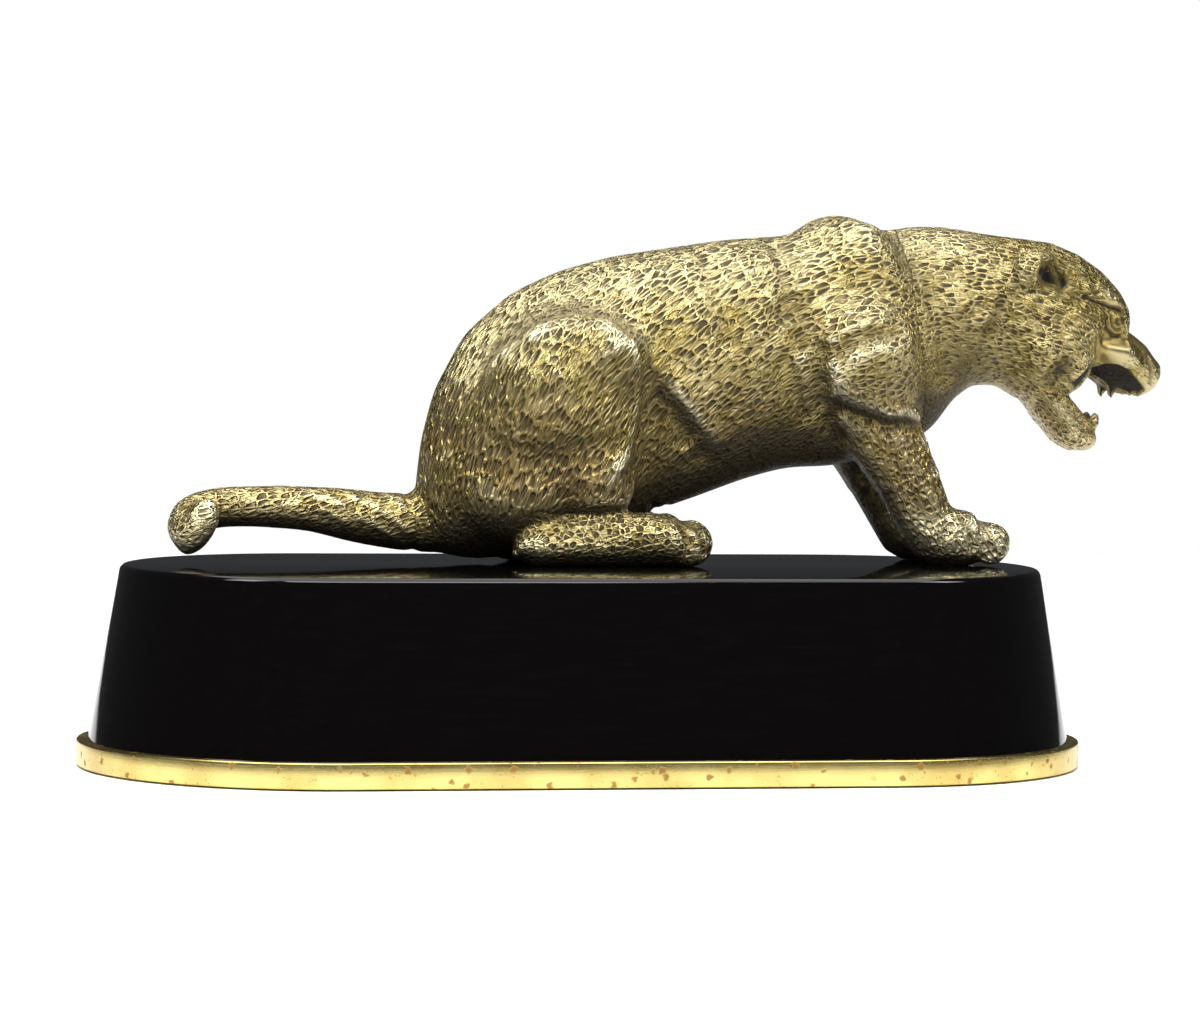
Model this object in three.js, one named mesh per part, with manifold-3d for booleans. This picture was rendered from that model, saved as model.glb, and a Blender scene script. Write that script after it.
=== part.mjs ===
// A crouching big-cat car mascot in chased brass, bolted to an ebonised display plinth.
// Millimetres, +Z up. The origin is the centre of the face that the plinth rests on, and the cat looks along +X.
// The cat is seven sand castings brazed together at spigots: body, head and neck, tail, two forelegs, two hind feet.
import * as THREE from "three";
import { LoftGeometry } from "three/addons/geometries/LoftGeometry.js";
import { mergeVertices } from "three/addons/utils/BufferGeometryUtils.js";
import Module from "manifold-3d";

// ---- Driving dimensions ----
const CAT_LENGTH = 306; // tail bend to nose tip
const CAT_OFFSET_Y = 20; // the cat stands behind the plinth's long centre line
const FRONT_MARGIN = 37; // front paw's stud to the plate's end
const BASE_DEPTH = 144; // brass base plate, front to back
const PLATE_THICKNESS = 7.5;
const BAIZE_THICKNESS = 0.5;
const BAIZE_INSET = 3; // baize edge inside the plate's edge
const PLINTH_HEIGHT = 51;
const PLINTH_FOOT_INSET = 3.4; // plinth foot inside the plate's edge
const PLINTH_TOP_INSET = 12.4; // plinth top inside the plate's edge
const PLINTH_EDGE = 1; // chamfer around the plinth's top
const WALL = 10; // brass left around the body casting's sand core
const JOINT_GAP = 0.3; // between two castings, filled with braze
const SPIGOT_RADIUS = 4;
const SPIGOT_DEPTH = 9; // how far a spigot goes into its neighbour
const CORE_HOLE_RADIUS = 6; // sand core's opening under the rump
const CORE_HOLE_DEPTH = 18;
const STUD_RADIUS = 2.5;
const STUD_IN_PAW = 7;
const STUD_CLEARANCE = 0.3;
const NUT_SEAT_HEIGHT = 22; // wood left above the counterbore
const NUT_WALL = 1.5; // stud to a flat of its nut
const NUT_THICKNESS = 4;
const WASHER_RIM = 3.5; // washer's edge outside the stud
const WASHER_THICKNESS = 1;
const STUD_TAIL = 3; // stud that shows below its nut
const SPANNER_ROOM = 2; // counterbore's wall outside the washer
const SCREW_RADIUS = 2.1;
const SCREW_LENGTH = 26;
const SCREW_POINT = 5;
const SCREW_HEAD_RADIUS = 4.2;
const SCREW_HEAD_HEIGHT = 2.4;
const SCREW_SLOT_WIDTH = 1.1;
const SCREW_SLOT_DEPTH = 1.1;
const SCREW_CLEARANCE = 0.3;
const SCREW_INSET = 20; // screw centres inside the plate's edge

// ---- Derived places ----
const PLATE_BOTTOM = BAIZE_THICKNESS;
const PLINTH_FOOT = PLATE_BOTTOM + PLATE_THICKNESS;
const PLINTH_TOP = PLINTH_FOOT + PLINTH_HEIGHT;
const TABLE_LENGTH = 306; // the cat's tables below are drawn at this length
const SCALE = CAT_LENGTH / TABLE_LENGTH;
const FRONT_STUD_X = 113; // in the cat's tables
const REAR_STUD_X = 8;
const BASE_LENGTH = 2 * (FRONT_STUD_X * SCALE + FRONT_MARGIN);
const WASHER_RADIUS = STUD_RADIUS + WASHER_RIM;
const COUNTERBORE_RADIUS = WASHER_RADIUS + SPANNER_ROOM;
const STUD_HOLE_RADIUS = STUD_RADIUS + STUD_CLEARANCE;
const NUT_SEAT = PLINTH_TOP - NUT_SEAT_HEIGHT;
const NUT_TOP = NUT_SEAT - WASHER_THICKNESS;
const STUD_BOTTOM = NUT_TOP - NUT_THICKNESS - STUD_TAIL;

const CUT = 1; // how far a cutting piece runs past the face it opens

// ---- Fineness ----
const RINGS = 18; // points around a loft section
const LIMB_SIDES = 16;
const ROD_SIDES = 14;
const MASS_SIDES = 16;
const TOE_SIDES = 10;
const HEAD_MASS_SIDES = 14;
const FANG_SIDES = 8;
const STADIUM_STEPS = 16; // per quarter turn of a rounded end

// ---- Colours ----
const material = (color, metalness, roughness) =>
  new THREE.MeshStandardMaterial({ color, metalness, roughness });
const CHASED_BRASS = material(0xa08c4e, 1, 0.38);
const POLISHED_BRASS = material(0xd9c06f, 1, 0.22);
const FASTENER_BRASS = material(0xb79a55, 1, 0.4);
const BLACK_LACQUER = material(0x0a0909, 0, 0.12);
const GREEN_BAIZE = material(0x1f4a32, 0, 0.95);

// ---- Solids ----
const wasm = await Module();
wasm.setup();

function solid(geometry) {
  const bare = new THREE.BufferGeometry().copy(geometry);
  bare.deleteAttribute("normal");
  bare.deleteAttribute("uv");
  const merged = mergeVertices(bare, 1e-4);
  const build = (triVerts) =>
    new wasm.Manifold(
      new wasm.Mesh({
        numProp: 3,
        vertProperties: merged.attributes.position.array,
        triVerts,
      }),
    );
  const faces = new Uint32Array(merged.index.array);
  const made = build(faces);
  return made.volume() > 0 ? made : build(faces.reverse());
}

const union = (solids) => solids.reduce((all, s) => all.add(s));
const without = (body, solids) => solids.reduce((left, s) => left.subtract(s), body);

function largest(body) {
  return body.decompose().reduce((a, b) => (a.volume() > b.volume() ? a : b));
}

function geometryOf(body) {
  const { vertProperties, triVerts, numProp } = body.getMesh();
  const flat = new THREE.BufferGeometry();
  const positions = new THREE.InterleavedBuffer(vertProperties, numProp);
  flat.setAttribute("position", new THREE.InterleavedBufferAttribute(positions, 3, 0));
  flat.setIndex(new THREE.BufferAttribute(triVerts, 1));
  const faceted = flat.toNonIndexed();
  faceted.computeVertexNormals();
  return faceted;
}

function cylinder(radius, bottom, top, x, y, segments = 20) {
  const g = new THREE.CylinderGeometry(radius, radius, top - bottom, segments);
  g.rotateX(Math.PI / 2);
  g.translate(x, y, (top + bottom) / 2);
  return solid(g);
}

function rod(radius, from, end, grow) {
  const reach = end.clone().sub(from);
  const along = reach.clone().setLength(reach.length() + grow);
  const to = from.clone().add(along);
  const wide = radius + grow;
  const g = new THREE.CylinderGeometry(wide, wide, along.length(), ROD_SIDES);
  const up = new THREE.Vector3(0, 1, 0);
  g.applyQuaternion(new THREE.Quaternion().setFromUnitVectors(up, along.clone().normalize()));
  g.translate(...from.clone().add(to).multiplyScalar(0.5).toArray());
  return solid(g);
}

// ---- The cat's frame: x along the row's X, w sideways from the cat's middle (+ is its left), z above the plinth ----
const at = (x, w, z) =>
  new THREE.Vector3(x * SCALE, CAT_OFFSET_Y + w * SCALE, PLINTH_TOP + z * SCALE);

// A loft through flat oval sections. A station is [upper x, upper z, lower x, lower z, half width].
function loft(stations, w = 0, grow = 0) {
  const middles = stations.map(([ux, uz, lx, lz]) => at((ux + lx) / 2, w, (uz + lz) / 2));
  const last = middles.length - 1;
  const outwards = (end, inner) => middles[end].clone().sub(middles[inner]).setLength(grow);
  const lengthen = { 0: outwards(0, 1), [last]: outwards(last, last - 1) };
  const sections = stations.map(([ux, uz, , , half], k) => {
    const reach = at(ux, w, uz).sub(middles[k]);
    const middle = middles[k].clone().add(lengthen[k] ?? new THREE.Vector3());
    reach.setLength(Math.max(0.5, reach.length() + grow));
    const side = Math.max(0.5, half * SCALE + grow);
    return Array.from({ length: RINGS }, (_, i) => {
      const turn = (2 * Math.PI * i) / RINGS;
      const p = middle.clone().addScaledVector(reach, Math.cos(turn));
      p.y -= side * Math.sin(turn);
      return p;
    });
  });
  return solid(new LoftGeometry(sections, { capStart: true, capEnd: true }));
}

// An ellipsoid mass: centre, half sizes, and its lean in degrees (+ tips its top towards the nose).
function mass([x, w, z, rx, rw, rz, lean = 0], grow = 0, sides = MASS_SIDES) {
  const g = new THREE.SphereGeometry(1, sides, Math.round(sides * 0.6));
  g.rotateX(Math.PI / 2);
  g.scale(rx * SCALE + grow, rw * SCALE + grow, rz * SCALE + grow);
  g.rotateY(THREE.MathUtils.degToRad(lean));
  g.translate(...at(x, w, z).toArray());
  return solid(g);
}

// A round limb through [x, w, z, radius] points.
function limb(points, grow = 0) {
  const centres = points.map(([x, w, z]) => at(x, w, z));
  const curve = new THREE.CatmullRomCurve3(centres);
  const steps = (points.length - 1) * 2;
  const radii = points.map((p) => p[3] * SCALE);
  const sideways = new THREE.Vector3(0, 0, 1);
  const sections = Array.from({ length: steps + 1 }, (_, i) => {
    const share = i / steps;
    const place = curve.getPoint(share);
    const along = curve.getTangent(share);
    const u = sideways.clone().cross(along).normalize();
    const v = along.clone().cross(u);
    const k = Math.min(points.length - 2, Math.floor(share * (points.length - 1)));
    const r = THREE.MathUtils.lerp(radii[k], radii[k + 1], share * (points.length - 1) - k) + grow;
    return Array.from({ length: LIMB_SIDES }, (_, j) => {
      const turn = (2 * Math.PI * j) / LIMB_SIDES;
      return place
        .clone()
        .addScaledVector(u, r * Math.cos(turn))
        .addScaledVector(v, r * Math.sin(turn));
    });
  });
  return solid(new LoftGeometry(sections, { capStart: true, capEnd: true }));
}

const bothSides = (row) => [row, [row[0], -row[1], ...row.slice(2)]];

// ---- Body casting ----
const BARREL = [
  [-46, 14, -43.5, 3, 8],
  [-48, 24, -34, 1, 15],
  [-46.6, 37, -24, 0.5, 20],
  [-43, 52, -14, 0.5, 23.5],
  [-34, 69, -4, 1.5, 24.5],
  [-20, 81.4, 6, 5, 24.5],
  [-6, 88, 16, 11, 23.5],
  [10, 92.6, 26, 15.5, 22.5],
  [26, 95.2, 38, 19.5, 22],
  [44, 98, 52, 24.5, 22],
  [60, 99.3, 65, 28, 21.5],
  [76, 99.6, 80, 28.5, 20.5],
  [90, 100.6, 97, 33, 18.5],
  [97, 101.8, 106, 37.8, 17],
];
const THIGHS = bothSides([-8, 13, 42.5, 29, 15.5, 33, 8]);
const SHOULDER_BLADES = bothSides([88.5, 10.5, 78.5, 15, 9, 27, -14]);
const UPPER_ARMS = bothSides([89.5, 13.5, 57.5, 14.5, 10.5, 14.5]);

function bodyMasses(grow) {
  const rounded = [...THIGHS, ...SHOULDER_BLADES, ...UPPER_ARMS];
  return [loft(BARREL, 0, grow), ...rounded.map((row) => mass(row, grow))];
}

const CORE_HOLE = [-20, 0, 0];

// ---- Head casting ----
const NECK = [
  [97.6, 102, 106.6, 37.8, 17],
  [106, 102.7, 110.5, 41, 16.5],
  [113, 102.5, 116.5, 49.3, 16.3],
  [120, 101.5, 122.5, 53.8, 16],
  [130, 100, 130, 54, 16],
  [139, 99, 137, 50, 16.5],
  [147, 98, 146, 49.5, 16.5],
  [155.5, 94.6, 153, 55, 14.5],
  [163, 89.6, 159, 58, 12],
  [168.5, 83.8, 164, 60, 10],
  [171.8, 78.2, 168, 62, 8.5],
];
const MUZZLE = [
  [163, 78, 160, 57.5, 10],
  [172, 71.5, 166, 55.5, 9],
  [177.5, 67, 171, 52, 8],
  [181.5, 61.5, 175.5, 51, 6.5],
  [182.5, 58, 179, 52.5, 4],
];
const LOWER_JAW = [
  [149, 62, 136.5, 52, 13],
  [152.5, 52.5, 143.5, 43.5, 12.5],
  [157, 47, 148.5, 37, 10.5],
  [160, 43.4, 153.5, 34.2, 8],
  [161.6, 40.4, 158, 34.8, 5],
];
const CHEEKS = bothSides([146, 9.5, 66, 13, 8.5, 15, -15]);
const UPPER_FANGS = bothSides([165.5, 5.5, 54.5, 1.6, 1.5, 4.8]);
const LOWER_FANGS = bothSides([159.6, 4.6, 43, 1.5, 1.4, 4, 15]);
const EARS = bothSides([139, 13.5, 91, 5.5, 3.4, 6, -30]);
const EAR_HOLLOWS = bothSides([142.6, 15.6, 90, 3.2, 3.2, 3.8, -30]);

// ---- Limbs ----
const FORELEG = [
  [103, 46, 72, 52, 10.5],
  [106.5, 33.5, 81, 34, 9.3],
  [110.5, 25.5, 88.5, 24.5, 8.3],
  [113.2, 18, 93.5, 17, 8],
  [116.5, 11, 98, 10, 8.5],
  [119, 6, 101, 5, 8],
];
const FOREPAW = [
  [114, 0, 7.2, 14, 9.5, 8],
  [124.5, -5.6, 6.4, 6, 3.4, 6.3],
  [126, -1.9, 6.8, 6, 3.2, 6.6],
  [126, 1.9, 6.8, 6, 3.2, 6.6],
  [124.5, 5.6, 6.4, 6, 3.4, 6.3],
];
const FORELEG_SPREAD = 13.5; // each foreleg's middle from the cat's middle
const FAR_FORELEG_BACK = 2.5; // the left foreleg stands this much further back
const HIND_FOOT = [
  [-20, 9, -22, 3, 6],
  [-13, 13.5, -15, -1, 8.5],
  [2, 15.6, 2, -1, 9],
  [18, 16.2, 18, -1, 9],
  [27, 15.6, 27.5, -1, 9.3],
];
const HIND_TOES = [
  [30.5, -6, 6.2, 6.2, 3.2, 6.4],
  [32, -2.1, 6.6, 6.4, 3, 6.8],
  [32, 2.1, 6.6, 6.4, 3, 6.8],
  [30.5, 6, 6.2, 6.2, 3.2, 6.4],
];
const HIND_FOOT_SPREAD = 21;
const HIND_SPIGOT_SPREAD = 17;
const TAIL = [
  [-43, 0, 12, 10],
  [-55, 0, 12, 8.6],
  [-68, 0, 13.8, 8],
  [-80, 0, 15.6, 6.9],
  [-98, 0, 16.2, 6.3],
  [-109, -1, 15.6, 6.2],
  [-116, -5, 13.5, 6],
  [-118, -10, 9.5, 5.6],
  [-118, -14, 5.5, 3.2],
];

// ---- Joints between castings: [from inside the limb, to inside the body] ----
const onAxis = (from, to) => [at(...from), at(...to)];
const SPIGOTS = {
  head: onAxis([106, 0, 70], [100 - SPIGOT_DEPTH, 0, 70]),
  tail: onAxis([-54, 0, 13], [-44 + SPIGOT_DEPTH, 0, 14]),
  foreleg_right: onAxis([96, -FORELEG_SPREAD, 34], [88, -FORELEG_SPREAD, 46 + SPIGOT_DEPTH]),
  foreleg_left: onAxis([93.5, FORELEG_SPREAD, 34], [85.5, FORELEG_SPREAD, 46 + SPIGOT_DEPTH]),
  hind_foot_right: onAxis([-10, -HIND_SPIGOT_SPREAD, 3], [-10, -14, 16 + SPIGOT_DEPTH]),
  hind_foot_left: onAxis([-10, HIND_SPIGOT_SPREAD, 3], [-10, 14, 16 + SPIGOT_DEPTH]),
};
const spigot = (name, grow = 0) => rod(SPIGOT_RADIUS, ...SPIGOTS[name], grow);

// ---- Stud places: [x, w] under each paw ----
const STUDS = {
  front_right: [FRONT_STUD_X, -FORELEG_SPREAD],
  front_left: [FRONT_STUD_X - FAR_FORELEG_BACK, FORELEG_SPREAD],
  rear_right: [REAR_STUD_X, -HIND_FOOT_SPREAD],
  rear_left: [REAR_STUD_X, HIND_FOOT_SPREAD],
};
const studAt = (name) => at(...STUDS[name], 0);
const pawHole = (name) => {
  const { x, y } = studAt(name);
  const top = PLINTH_TOP + STUD_IN_PAW + STUD_CLEARANCE;
  return cylinder(STUD_HOLE_RADIUS, PLINTH_TOP - CUT, top, x, y, 14);
};

// Everything under the plinth's top, cut away so that soles and rump sit flat.
const belowPlinthTop = () => {
  const g = new THREE.BoxGeometry(2 * CAT_LENGTH, 2 * CAT_LENGTH, PLINTH_TOP);
  g.translate(0, 0, PLINTH_TOP / 2);
  return solid(g);
};

function bodyCasting() {
  const outer = union(bodyMasses(0));
  const core = loft(BARREL.slice(3, 11), 0, -WALL);
  const hole = at(...CORE_HOLE);
  const holeTop = PLINTH_TOP + CORE_HOLE_DEPTH;
  const coreHole = cylinder(CORE_HOLE_RADIUS, PLINTH_TOP - CUT, holeTop, hole.x, hole.y);
  const sockets = Object.keys(SPIGOTS).map((name) => spigot(name, JOINT_GAP));
  return largest(without(outer, [core, coreHole, ...sockets, belowPlinthTop()]));
}

function limbCasting(parts, joint, stud) {
  const trimmed = without(union(parts), [...bodyMasses(JOINT_GAP), belowPlinthTop()]);
  const pegged = largest(trimmed).add(spigot(joint));
  return stud ? pegged.subtract(pawHole(stud)) : pegged;
}

function headCasting() {
  const masses = [...CHEEKS, ...EARS].map((row) => mass(row, 0, HEAD_MASS_SIDES));
  const parts = [loft(NECK), loft(MUZZLE), loft(LOWER_JAW), ...masses];
  const fangs = [...UPPER_FANGS, ...LOWER_FANGS].map((row) => mass(row, 0, FANG_SIDES));
  const hollows = EAR_HOLLOWS.map((row) => mass(row, 0, HEAD_MASS_SIDES));
  const shape = without(union(parts), hollows).add(union(fangs));
  return largest(without(shape, bodyMasses(JOINT_GAP))).add(spigot("head"));
}

function foreleg(side, back, joint, stud) {
  const moved = (row) => [row[0] - back, row[1] + side * FORELEG_SPREAD, ...row.slice(2)];
  const leg = FORELEG.map(([ux, uz, lx, lz, half]) => [ux - back, uz, lx - back, lz, half]);
  const paw = FOREPAW.map((row) => mass(moved(row), 0, TOE_SIDES));
  return limbCasting([loft(leg, side * FORELEG_SPREAD), ...paw], joint, stud);
}

function hindFoot(side, joint, stud) {
  const w = side * HIND_FOOT_SPREAD;
  const toes = HIND_TOES.map((row) => mass([row[0], row[1] + w, ...row.slice(2)], 0, TOE_SIDES));
  return limbCasting([loft(HIND_FOOT, w), ...toes], joint, stud);
}

// ---- Plinth, base plate and baize: stadium outlines ----
function stadium(inset) {
  const end = BASE_DEPTH / 2 - inset;
  const half = BASE_LENGTH / 2 - BASE_DEPTH / 2;
  const shape = new THREE.Shape();
  shape.absarc(half, 0, end, -Math.PI / 2, Math.PI / 2, false);
  shape.absarc(-half, 0, end, Math.PI / 2, (3 * Math.PI) / 2, false);
  shape.closePath();
  return shape;
}

function slab(inset, bottom, top) {
  const settings = { depth: top - bottom, bevelEnabled: false, curveSegments: STADIUM_STEPS };
  const g = new THREE.ExtrudeGeometry(stadium(inset), settings);
  g.translate(0, 0, bottom);
  return solid(g);
}

function plinthBlank() {
  const ring = (inset, z) => {
    const outline = stadium(inset).getPoints(STADIUM_STEPS);
    return outline.slice(0, -1).map((p) => new THREE.Vector3(p.x, p.y, z));
  };
  const sections = [
    ring(PLINTH_FOOT_INSET, PLINTH_FOOT),
    ring(PLINTH_TOP_INSET, PLINTH_TOP - PLINTH_EDGE),
    ring(PLINTH_TOP_INSET + PLINTH_EDGE, PLINTH_TOP),
  ];
  return solid(new LoftGeometry(sections, { capStart: true, capEnd: true }));
}

// Base-plate screws: one at each corner of the straight sides and one at each end.
const CORNER = { x: BASE_LENGTH / 2 - BASE_DEPTH / 2, y: BASE_DEPTH / 2 - SCREW_INSET };
const SCREW_PLACES = [
  { x: -CORNER.x, y: -CORNER.y },
  { x: CORNER.x, y: -CORNER.y },
  { x: CORNER.x, y: CORNER.y },
  { x: -CORNER.x, y: CORNER.y },
  { x: BASE_LENGTH / 2 - SCREW_INSET, y: 0 },
  { x: SCREW_INSET - BASE_LENGTH / 2, y: 0 },
];

// A countersunk screw, or with grow the hole that clears it all round.
function screwBlank({ x, y }, grow) {
  const flare = (SCREW_HEAD_RADIUS - SCREW_RADIUS) / SCREW_HEAD_HEIGHT;
  const shank = SCREW_RADIUS + grow;
  const profile = [
    [0, -grow],
    [SCREW_HEAD_RADIUS + grow + flare * grow, -grow],
    [shank, SCREW_HEAD_HEIGHT],
    [shank, SCREW_LENGTH - SCREW_POINT + grow],
    [0, SCREW_LENGTH + 2 * grow],
  ];
  const outline = profile.map(([r, z]) => new THREE.Vector2(r, z));
  const g = new THREE.LatheGeometry(outline, 16);
  g.rotateX(Math.PI / 2);
  g.translate(x, y, PLATE_BOTTOM);
  return solid(g);
}

const screwHoles = () => SCREW_PLACES.map((place) => screwBlank(place, SCREW_CLEARANCE));

function woodScrew(place) {
  const across = 3 * SCREW_HEAD_RADIUS;
  const slot = new THREE.BoxGeometry(across, SCREW_SLOT_WIDTH, 2 * SCREW_SLOT_DEPTH);
  slot.translate(place.x, place.y, PLATE_BOTTOM);
  return screwBlank(place, 0).subtract(solid(slot));
}

function plinth() {
  const bores = Object.keys(STUDS).flatMap((name) => {
    const { x, y } = studAt(name);
    return [
      cylinder(STUD_HOLE_RADIUS, NUT_SEAT - CUT, PLINTH_TOP + CUT, x, y, 14),
      cylinder(COUNTERBORE_RADIUS, PLINTH_FOOT - CUT, NUT_SEAT, x, y),
    ];
  });
  return without(plinthBlank(), [...bores, ...screwHoles()]);
}

const basePlate = () => without(slab(0, PLATE_BOTTOM, PLINTH_FOOT), screwHoles());

function stud(name) {
  const { x, y } = studAt(name);
  return cylinder(STUD_RADIUS, STUD_BOTTOM, PLINTH_TOP + STUD_IN_PAW, x, y, 14);
}

const studHole = ({ x, y }) => cylinder(STUD_HOLE_RADIUS, 0, PLINTH_TOP, x, y, 14);

function washer(name) {
  const place = studAt(name);
  return cylinder(WASHER_RADIUS, NUT_TOP, NUT_SEAT, place.x, place.y).subtract(studHole(place));
}

function nut(name) {
  const place = studAt(name);
  const corner = (2 * (STUD_RADIUS + NUT_WALL)) / Math.sqrt(3);
  const hex = cylinder(corner, NUT_TOP - NUT_THICKNESS, NUT_TOP, place.x, place.y, 6);
  return hex.subtract(studHole(place));
}

// ---- The assembly ----
const mascot = new THREE.Group();
function add(name, body, finish) {
  const mesh = new THREE.Mesh(geometryOf(body), finish);
  mesh.name = name;
  mascot.add(mesh);
}

add("body_casting", bodyCasting(), CHASED_BRASS);
add("head_casting", headCasting(), CHASED_BRASS);
add("tail_casting", limbCasting([limb(TAIL)], "tail"), CHASED_BRASS);
add("foreleg_right_casting", foreleg(-1, 0, "foreleg_right", "front_right"), CHASED_BRASS);
add("foreleg_left_casting", foreleg(1, FAR_FORELEG_BACK, "foreleg_left", "front_left"), CHASED_BRASS);
add("hind_foot_right_casting", hindFoot(-1, "hind_foot_right", "rear_right"), CHASED_BRASS);
add("hind_foot_left_casting", hindFoot(1, "hind_foot_left", "rear_left"), CHASED_BRASS);
add("plinth_block", plinth(), BLACK_LACQUER);
add("base_plate", basePlate(), POLISHED_BRASS);
add("baize_pad", slab(BAIZE_INSET, 0, BAIZE_THICKNESS), GREEN_BAIZE);
for (const name of Object.keys(STUDS)) {
  add(`${name}_stud`, stud(name), FASTENER_BRASS);
  add(`${name}_washer`, washer(name), FASTENER_BRASS);
  add(`${name}_nut`, nut(name), FASTENER_BRASS);
}
SCREW_PLACES.forEach((place, i) => add(`base_screw_${i + 1}`, woodScrew(place), FASTENER_BRASS));

export default mascot;
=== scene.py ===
"""The looks of a crouching big-cat car mascot in chased brass, on a black plinth with a brass base plate."""
import math
import bmesh
import bpy
import numpy as np
from mathutils import Matrix, Vector
from mathutils.bvhtree import BVHTree


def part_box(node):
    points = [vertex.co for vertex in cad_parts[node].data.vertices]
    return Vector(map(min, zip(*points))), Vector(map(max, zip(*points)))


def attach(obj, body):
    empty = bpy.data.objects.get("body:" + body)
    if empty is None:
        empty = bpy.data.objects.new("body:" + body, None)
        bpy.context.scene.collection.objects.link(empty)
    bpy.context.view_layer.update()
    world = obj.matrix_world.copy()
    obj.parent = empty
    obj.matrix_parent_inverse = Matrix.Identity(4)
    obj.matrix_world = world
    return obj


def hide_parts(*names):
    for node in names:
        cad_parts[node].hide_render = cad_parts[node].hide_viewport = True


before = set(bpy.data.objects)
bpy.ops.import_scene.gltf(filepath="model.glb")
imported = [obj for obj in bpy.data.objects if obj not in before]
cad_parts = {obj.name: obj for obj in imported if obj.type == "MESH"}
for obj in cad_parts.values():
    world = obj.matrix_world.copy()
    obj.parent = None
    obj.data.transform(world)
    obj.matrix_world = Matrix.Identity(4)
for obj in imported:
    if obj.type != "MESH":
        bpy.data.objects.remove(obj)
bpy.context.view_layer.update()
MM = 0.001

# ---- The cat's own frame: x to the nose, w to its left, z above the plinth, in 306ths of its length ----
CASTINGS = ["body", "head", "tail", "foreleg_right", "foreleg_left", "hind_foot_right", "hind_foot_left"]
CAT_UNITS = 306
NOSE_X = 182.5
PLINTH_LOW, PLINTH_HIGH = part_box("plinth_block")
PLATE_LOW, PLATE_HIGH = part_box("base_plate")
BODY_LOW, BODY_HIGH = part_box("body_casting")
NOSE_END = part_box("head_casting")[1].x
UNIT = (NOSE_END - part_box("tail_casting")[0].x) / CAT_UNITS
CAT_ORIGIN = Vector((NOSE_END - NOSE_X * UNIT, (BODY_LOW.y + BODY_HIGH.y) / 2, PLINTH_HIGH.z))


def place(x, w, z):
    return CAT_ORIGIN + Vector((x, w, z)) * UNIT


# ---- Mesh helpers ----
def object_from(bm, name):
    mesh = bpy.data.meshes.new(name)
    bm.to_mesh(mesh)
    bm.free()
    piece = bpy.data.objects.new(name, mesh)
    bpy.context.scene.collection.objects.link(piece)
    return piece


def bake_modifiers(piece):
    """Replaces a piece's mesh by what its modifiers make of it."""
    shaped = piece.evaluated_get(bpy.context.evaluated_depsgraph_get())
    mesh = bpy.data.meshes.new_from_object(shaped)
    piece.modifiers.clear()
    piece.data = mesh
    return piece


def add_modifier(piece, kind, **settings):
    modifier = piece.modifiers.new(kind.lower(), kind)
    for key, value in settings.items():
        setattr(modifier, key, value)


def shade_smooth(piece):
    piece.data.polygons.foreach_set("use_smooth", np.ones(len(piece.data.polygons), bool))
    piece.data.update()


def coat(piece, material):
    piece.data.materials.clear()
    piece.data.materials.append(material)


def finish_piece(piece, material, slot, *nodes):
    """Gives a piece its material, lets it stand for its CAD nodes and ride on the base; slot is not used."""
    coat(piece, material)
    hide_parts(*nodes)
    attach(piece, "root")


# ---- Clay: the castings fused into one skin ----
CLAY_VOXEL = 0.68 * MM
# Extra clay: [x, w, z, half sizes, lean towards the nose in degrees], on both sides where w isn't 0
MUSCLES = [
    [-9, 15, 46.5, 25, 15.8, 30, 12],
    [-20, 15, 24, 19, 13.5, 17, -25],
    [3, 19, 26, 13, 10, 13, -35],
    [5, 18.5, 61, 12.5, 11, 14, -35],
    [79.5, 0, 95.5, 14.5, 13, 10.3, 0],
    [84, 17, 62, 17, 11, 19, 10],
    [90, 15.5, 52, 11, 9.5, 11, -20],
    [160, 6.5, 80.5, 8, 5.5, 5.5, 38],
    [137.5, 14.6, 89.6, 6.4, 4, 5.8, -25],
    [153.5, 9.5, 71, 7.5, 5.5, 6.5, 38],
    [165, 5.2, 65.5, 10.5, 6.2, 5.4, 28],
    [170.5, 0, 65.5, 8.6, 5.2, 5, 38],
    [150.5, 4.2, 44.3, 11, 5.2, 5.2, 34],
    [157.3, 0, 38.7, 5.2, 7.6, 4.2, 30],
    [179.6, 0, 58.8, 2.8, 4.4, 3.8, 20],
    [165.5, 0, 56, 9, 6.6, 3.4, 22],
    [165.2, 5, 53.6, 1.8, 1.7, 3.2, 0],
    [-13, 20, 7, 8.5, 7.8, 6.4, 0],
    [24, 20, 9.2, 10, 8.6, 6.8, 8],
    [31, 20, 7.2, 7.5, 8.6, 7, 22],
    [160.4, 4.6, 43.2, 1.7, 1.6, 3.4, 15],
    [116, 14, 9.5, 9, 8.6, 7.6, 10],
    [124.5, 14, 6.8, 6, 8.6, 6, 12],
    [175, 2, 53, 1.4, 1.5, 2.2, 0],
    [171.8, 4, 53.4, 1.5, 1.5, 2.4, 0],
]
CORE_PLUG = [-20, 0, 10, 9, 9, 9.4, 0]
TAIL_CURL = [-114.3, -12.6, 10.8, 5.4, 4.8, 9.8, 30]


def lump(bm, x, w, z, rx, rw, rz, lean, sides=32):
    turn = Matrix.Rotation(math.radians(lean), 4, "Y")
    size = Matrix.Diagonal((rx * UNIT, rw * UNIT, rz * UNIT, 1))
    matrix = Matrix.Translation(place(x, w, z)) @ turn @ size
    bmesh.ops.create_uvsphere(bm, u_segments=sides, v_segments=sides // 2, radius=1, matrix=matrix)


def mirrored(row):
    x, w, *rest = row
    return [row] if w == 0 else [row, [x, -w, *rest]]


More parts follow.
